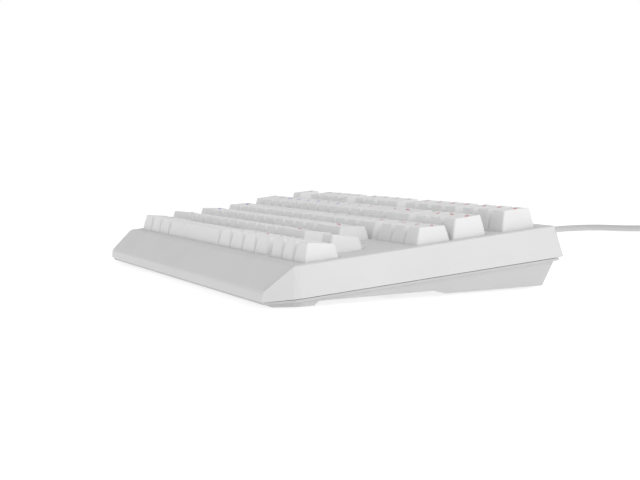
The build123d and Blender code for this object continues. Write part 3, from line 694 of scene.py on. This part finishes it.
# ---------------------------------------------------------------- cable
ON_DESK = CORD_DIAMETER / 2
LEAD_ROUTE = [
    (-70, 98, 8.2),
    (-70, 109, 8.2),
    (-75, 126, 4.0),
    (-86, 146, ON_DESK),
    (-101, 167, ON_DESK),
    (-120, 188, ON_DESK),
    (-141, 209, ON_DESK),
    (-156, 228, ON_DESK),
    (-163.5, 243.8, ON_DESK),
    (-161.4, 258.1, ON_DESK),
    (-151.7, 268.9, ON_DESK),
    (-127.5, 275.2, ON_DESK),
    (-115.8, 283.7, ON_DESK),
    (-107.9, 295.9, 2.6),
    (-102.8, 307.0, 5.0),
    (-98.2, 321, 9.4),
    (-94.2, 336.4, 13.9),
]
# each turn of the coil as (column, layer): columns out from the middle one, layers up from the desk
COIL_TURNS = [(0, 3), (-1, 3), (-1, 2), (0, 2), (1, 2), (1, 1), (0, 1), (-1, 1), (-1, 0), (0, 0), (1, 0)]
COIL_RADIUS = 21.0
COIL_START = math.radians(-14.0)
POINTS_PER_TURN = 16
LAST_ARC = math.radians(104.0)
CROSSING_SHARE = 0.3  # the part of a turn in which the cord crosses to its next place
PLUG_HEIGHT = 4.0
PLUG_Y = COIL_CENTRE[1] + COIL_RADIUS + 2 * CORD_DIAMETER  # the outermost turn, which leads into the plug


def coil_route():
    """The turns of the tied coil, from its top middle turn to the outside turn on the desk."""
    spots = [(COIL_RADIUS + c * CORD_DIAMETER, ON_DESK + l * CORD_DIAMETER) for c, l in COIL_TURNS]
    spots.append((COIL_RADIUS + 2 * CORD_DIAMETER, PLUG_HEIGHT))
    step = 2 * math.pi / POINTS_PER_TURN
    swell = 1 / (0.75 + 0.25 * math.cos(step))
    count = len(COIL_TURNS) * POINTS_PER_TURN + int(LAST_ARC / step)
    route = []
    for index in range(count + 1):
        turn, share = index // POINTS_PER_TURN, (index % POINTS_PER_TURN) / POINTS_PER_TURN
        before, now = spots[max(0, turn - 1)], spots[turn]
        blend = min(1.0, share / CROSSING_SHARE)
        blend = blend * blend * (3 - 2 * blend)
        radius = (before[0] + (now[0] - before[0]) * blend) * swell
        level = before[1] + (now[1] - before[1]) * blend
        angle = COIL_START + index * step
        x = COIL_CENTRE[0] + radius * math.cos(angle)
        y = COIL_CENTRE[1] + radius * math.sin(angle)
        route.append((x, y, level))
    return route


def make_cable():
    ending = [(COIL_CENTRE[0], PLUG_Y, PLUG_HEIGHT), (COIL_CENTRE[0] - 5, PLUG_Y, PLUG_HEIGHT)]
    points = LEAD_ROUTE + coil_route() + ending
    curve = bpy.data.curves.new("cable", "CURVE")
    curve.dimensions = "3D"
    spline = curve.splines.new("NURBS")
    spline.points.add(len(points) - 1)
    for point, place in zip(spline.points, points):
        point.co = (place[0] * MM, place[1] * MM, place[2] * MM, 1.0)
    spline.order_u = 3
    spline.use_endpoint_u = True
    spline.resolution_u = 6
    curve.bevel_depth = CORD_DIAMETER / 2 * MM
    curve.bevel_resolution = 6
    curve.use_fill_caps = True
    curve.materials.append(jacket)
    cable = bpy.data.objects.new("cable", curve)
    bpy.context.scene.collection.objects.link(cable)
    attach(cable, "case")
    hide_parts("cable_lead", "cable_coil")
    return cable


def lathe(bm, profile, axis_point, axis, across, turns=40):
    """A turned solid: profile is (distance along the axis, radius) pairs in mm, closed at both ends."""
    third = axis.cross(across)
    rings = []
    for along, radius in profile:
        ring = []
        for i in range(turns):
            angle = 2 * math.pi * i / turns
            spoke = across * math.cos(angle) + third * math.sin(angle)
            ring.append(bm.verts.new((axis_point + axis * along + spoke * radius) * MM))
        rings.append(ring)
    for low, high in zip(rings, rings[1:]):
        for i in range(turns):
            j = (i + 1) % turns
            bm.faces.new((low[i], low[j], high[j], high[i]))
    bm.faces.new(rings[0][::-1])
    bm.faces.new(rings[-1])
    bmesh.ops.recalc_face_normals(bm, faces=bm.faces)


def ribbed_relief(start, end, first_radius, last_radius, ribs, groove):
    """Outline of a tapered strain relief with rounded ring grooves."""
    profile = [(start, first_radius - 0.4), (start + 0.4, first_radius)]
    length = end - start - 4
    for rib in range(ribs):
        low = start + 3 + length * rib / ribs
        high = low + length / ribs
        gap = (high - low) * 0.42
        for along, dip in ((low, 0), (low + 0.25, groove), (low + gap - 0.25, groove), (low + gap, 0)):
            share = (along - start) / (end - start)
            profile.append((along, first_radius + (last_radius - first_radius) * share - dip))
    profile += [(end - 0.5, last_radius), (end, last_radius - 0.35)]
    return profile


EXIT_X, EXIT_Y, EXIT_HEIGHT = LEAD_ROUTE[0]
GLAND_COLLAR = [(61.0, 4.1), (61.3, 4.4), (62.7, 4.4), (63.0, 4.1)]  # y and radius, inside the case
GLAND_NECK = [(63.01, 3.3), (72.55, 3.3)]  # y and radius, through the case's wall
BOOT_START = 72.6


def make_gland():
    """Cable gland: collar and neck in the case's wall, and the ribbed boot behind it."""
    bm = bmesh.new()
    profile = GLAND_COLLAR + GLAND_NECK + ribbed_relief(BOOT_START, EXIT_Y, 4.4, 3.2, 6, 0.55)
    lathe(bm, profile, Vector((EXIT_X, 0.0, EXIT_HEIGHT)), Vector((0, 1, 0)), Vector((1, 0, 0)))
    piece = new_piece("cable_gland_boot", bm, "case", [jacket], 40.0)
    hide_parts("cable_gland")
    return piece


def rounded_box(bm, low, high, radius, segments=4):
    """A box with rounded edges, in mm."""
    made = bmesh.ops.create_cube(bm, size=1.0)["verts"]
    for vert in made:
        vert.co = Vector([low[i] if vert.co[i] < 0 else high[i] for i in range(3)]) * MM
    edges = list({edge for vert in made for edge in vert.link_edges})
    bmesh.ops.bevel(
        bm, geom=edges, offset=radius * MM, segments=segments, profile=0.5, affect="EDGES", clamp_overlap=True
    )


PLUG_START = COIL_CENTRE[0] - 3.0
PLUG_RELIEF, PLUG_GRIP, PLUG_SHELL = 18.0, 22.0, 14.5  # lengths along the plug
GRIP_HALF, GRIP_TOP = 7.8, 8.0
CONTACT_PITCH = 2.6


def make_grip():
    """Strain relief and overmould with grip ribs on its sides."""
    bm = bmesh.new()
    profile = ribbed_relief(0.0, PLUG_RELIEF + 1.0, 3.0, 3.9, 5, 0.45)
    start = Vector((PLUG_START, PLUG_Y, PLUG_HEIGHT))
    lathe(bm, profile, start, Vector((-1, 0, 0)), Vector((0, 1, 0)), 32)
    back = PLUG_START - PLUG_RELIEF
    low, high = (back - PLUG_GRIP, PLUG_Y - GRIP_HALF, 0.0), (back, PLUG_Y + GRIP_HALF, GRIP_TOP)
    rounded_box(bm, low, high, 1.7)
    for side in (-1, 1):
        for rib in range(5):
            rib_x = back - 6.0 - rib * 2.6
            face = PLUG_Y + side * (GRIP_HALF - 0.25)
            rounded_box(bm, (rib_x - 1.1, face - 0.3, 1.6), (rib_x, face + 0.24, 6.4), 0.2, 2)
    grip = new_piece("usb_plug_grip", bm, "case", [plug_grey], 40.0)
    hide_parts("usb_plug")
    return grip


def make_contacts(tip):
    """The four contacts, the outer two of which reach further forward."""
    bm = bmesh.new()
    for index in range(4):
        contact_y = PLUG_Y + (index - 1.5) * CONTACT_PITCH
        reach = 1.0 if index in (1, 2) else 0.0
        low = (tip - PLUG_SHELL + 1.6 + reach, contact_y - 0.5, 4.0)
        high = (tip - 2.5, contact_y + 0.5, 4.12)
        rounded_box(bm, low, high, 0.04, 1)
    return new_piece("usb_plug_contacts", bm, "case", [gold], 40.0)


def make_plug():
    """Overmould, folded steel shell with its windows and tongue, and the contacts."""
    grip = make_grip()
    tip = PLUG_START - PLUG_RELIEF - PLUG_GRIP
    shell = rounded_copy(
        "usb_plug",
        "usb_plug_shell",
        shell_nickel,
        0.00015,
        2,
        lambda co: co.x < (tip + 0.01) * MM,
    )
    return [grip, shell, make_contacts(tip)]


TIE_WIDTH, TIE_THICKNESS, TIE_CORNER = 10.0, 0.7, 2.4
TIE_HALF, TIE_LOW, TIE_HIGH = 6.3, 0.75, 17.2
TIE_LAP = 0.75  # from the strap's inner face to that of its lapped end


def strap_arc(centre, radius, angles):
    """Points of an arc across the strap's loop, each with its outward direction."""
    ways = [(math.cos(math.radians(a)), math.sin(math.radians(a))) for a in angles]
    return [((centre[0] + radius * x, centre[1] + radius * z), (x, z)) for x, z in ways]


def add_strip(bm, path, closed):
    """A flat strip of strap along a path of points with their outward directions."""
    rows = []
    for (px, pz), (nx, nz) in path:
        row = []
        for side, grow in ((-0.5, 0), (0.5, 0), (0.5, TIE_THICKNESS), (-0.5, TIE_THICKNESS)):
            x = COIL_CENTRE[0] - COIL_RADIUS + px + nx * grow
            y = COIL_CENTRE[1] + side * TIE_WIDTH
            row.append(bm.verts.new(Vector((x, y, pz + nz * grow)) * MM))
        rows.append(row)
    after = rows[1:] + rows[:1] if closed else rows[1:]
    for first, second in zip(rows, after):
        for i in range(4):
            j = (i + 1) % 4
            bm.faces.new((first[i], first[j], second[j], second[i]))
    if not closed:
        bm.faces.new(rows[0][::-1])
        bm.faces.new(rows[-1])


def make_tie():
    """Hook-and-loop strap round the coil, its free end lapped over the top."""
    side, low, high = TIE_HALF - TIE_CORNER, TIE_LOW + TIE_CORNER, TIE_HIGH - TIE_CORNER
    loop = []
    for centre, start in (((side, high), 0), ((-side, high), 90), ((-side, low), 180), ((side, low), 270)):
        loop += strap_arc(centre, TIE_CORNER, [start + 90 * step / 8 for step in range(9)])
    lap = strap_arc((side, high), TIE_CORNER + TIE_LAP, range(40, 91, 10))
    lap += [((x, TIE_HIGH + TIE_LAP), (0, 1)) for x in (side - 2.0, 1.0 - side)]
    bm = bmesh.new()
    add_strip(bm, loop, True)
    add_strip(bm, lap, False)
    bmesh.ops.recalc_face_normals(bm, faces=bm.faces)
    piece = new_piece("coil_tie_strap", bm, "case", [tie_black], 35.0)
    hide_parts("coil_tie")
    return piece


# ---------------------------------------------------------------- case, feet and inner pieces


def make_case():
    rounded_copy("top_case", "top_case_shell", case_white, 0.0003, 3, shortest=0.004)
    rounded_copy("bottom_case", "bottom_case_shell", tray_grey_with_painted_shade, 0.0)
    # the feet carry the dark grey with the painted contact shade
    for foot in ("foot_left", "foot_right"):
        rounded_copy(foot, foot + "_flap", foot_painted_shade_grey, 0.00025, 2, shortest=0.002)
    rounded_copy("rubber_pads", "rubber_pads_soft", pad_grey, 0.0002, 2)


def finish_inner_nodes():
    finishes = {
        "switch_plate": plate_paint,
        "circuit_board": board_green,
        "switch_housings": switch_grey,
        "switch_springs": steel,
        "stabilizers": switch_grey,
        "case_screws": dark_steel,
        "indicator_lenses": lens_clear,
    }
    for node, material in finishes.items():
        mesh = frame["nodes"][node].data
        mesh.materials.clear()
        mesh.materials.append(material)


# ---------------------------------------------------------------- stage, lights and camera
CAMERA_PLACE = Vector((0.952195, -0.302754, 0.087765))
CAMERA_RIGHT = Vector((0.315552, 0.947848, -0.044844))
CAMERA_UP = Vector((-0.052033, 0.064472, 0.996562))
CAMERA_LENS = 98.08


def make_camera():
    camera = bpy.data.cameras.new("camera")
    camera.lens = CAMERA_LENS
    camera.sensor_width = 36.0
    camera.clip_start = 0.01
    holder = bpy.data.objects.new("camera", camera)
    bpy.context.scene.collection.objects.link(holder)
    back = CAMERA_RIGHT.cross(CAMERA_UP)
    turn = Matrix((CAMERA_RIGHT, CAMERA_UP, back)).transposed().to_4x4()
    holder.matrix_world = Matrix.Translation(CAMERA_PLACE) @ turn
    bpy.context.scene.camera = holder


def area_light(name, place, aim, size, power):
    light = bpy.data.lights.new(name, "AREA")
    light.shape = "RECTANGLE"
    light.size, light.size_y = size
    light.energy = power
    holder = bpy.data.objects.new(name, light)
    holder.location = place
    holder.rotation_euler = (Vector(aim) - Vector(place)).to_track_quat("-Z", "Y").to_euler()
    bpy.context.scene.collection.objects.link(holder)


FRONT_GLOW = 0.48
REAR_GLOW = 0.66
FLOOR_SIZE = 40.0  # half its width
FLOOR_DROP = 0.0002


def make_floor():
    """White floor that glows more strongly away from the keyboard; its weaker glow near and under the
    keyboard is painted shade.
    """
    bm = bmesh.new()
    signs = ((-1, -1), (1, -1), (1, 1), (-1, 1))
    bm.faces.new([bm.verts.new((x * FLOOR_SIZE, y * FLOOR_SIZE, 0.0)) for x, y in signs])
    mesh = bpy.data.meshes.new("floor")
    bm.to_mesh(mesh)
    bm.free()
    floor = bpy.data.objects.new("floor", mesh)
    floor.location.z = -FLOOR_DROP
    bpy.context.scene.collection.objects.link(floor)
    shader = Shader("floor_white", (0.7, 0.7, 0.7), 0.9)
    shader.tint(shader.noise(3.0), (0.69, 0.69, 0.69), (0.71, 0.71, 0.71))
    distance = shader.node("ShaderNodeVectorMath", operation="LENGTH")
    shader.link(shader.place, distance.inputs[0])
    # weaker glow within reach of the keyboard: painted shade on the floor and on the keyboard's underside
    glow = shader.node("ShaderNodeMapRange", interpolation_type="SMOOTHSTEP")
    glow.inputs["From Min"].default_value = 0.7
    glow.inputs["From Max"].default_value = 2.6
    glow.inputs["To Min"].default_value = 0.55
    glow.inputs["To Max"].default_value = 1.0
    shader.link(distance.outputs["Value"], glow.inputs["Value"])
    shader.link(glow.outputs["Result"], shader.principled.inputs["Emission Strength"])
    shader.principled.inputs["Emission Color"].default_value = (1, 1, 1, 1)
    mesh.materials.append(shader.material)


def make_world():
    """White studio surround: a white band at the horizon, and a softer glow overhead."""
    world = bpy.data.worlds.new("studio")
    bpy.context.scene.world = world
    world.use_nodes = True
    tree = world.node_tree
    coordinates = tree.nodes.new("ShaderNodeTexCoord")
    split = tree.nodes.new("ShaderNodeSeparateXYZ")
    tree.links.new(coordinates.outputs["Generated"], split.inputs["Vector"])
    # below, "Factor" is how much of the horizon's white is mixed in, and "A" the overhead glow
    mixed = tree.nodes.new("ShaderNodeMix")
    mixed.inputs["B"].default_value = 1.0
    for axis, low, high, start, end, target in (
        ("Z", 0.13, 0.34, 1.0, 0.0, "Factor"),
        ("Y", -0.8, 0.8, FRONT_GLOW, REAR_GLOW, "A"),
    ):
        ranged = tree.nodes.new("ShaderNodeMapRange")
        ranged.inputs["From Min"].default_value = low
        ranged.inputs["From Max"].default_value = high
        ranged.inputs["To Min"].default_value = start
        ranged.inputs["To Max"].default_value = end
        tree.links.new(split.outputs[axis], ranged.inputs["Value"])
        tree.links.new(ranged.outputs["Result"], mixed.inputs[target])
    tree.links.new(mixed.outputs["Result"], tree.nodes["Background"].inputs["Color"])


def make_stage():
    make_floor()
    make_world()
    area_light("key_right", (1.9, 0.3, 0.7), (0, 0, 0), (1.4, 1.0), 7.5)
    area_light("rear_top", (0.1, 0.95, 1.6), (0, 0, 0), (1.6, 1.2), 5.0)
    area_light("front_left", (-0.9, -0.6, 0.7), (-0.1, -0.05, 0), (0.6, 0.4), 1.1)
    bpy.context.scene.view_settings.view_transform = "Standard"


make_camera()
cable = make_cable()
gland = make_gland()
plug_pieces = make_plug()
tie = make_tie()
make_keys()
make_case()
finish_inner_nodes()
make_stage()
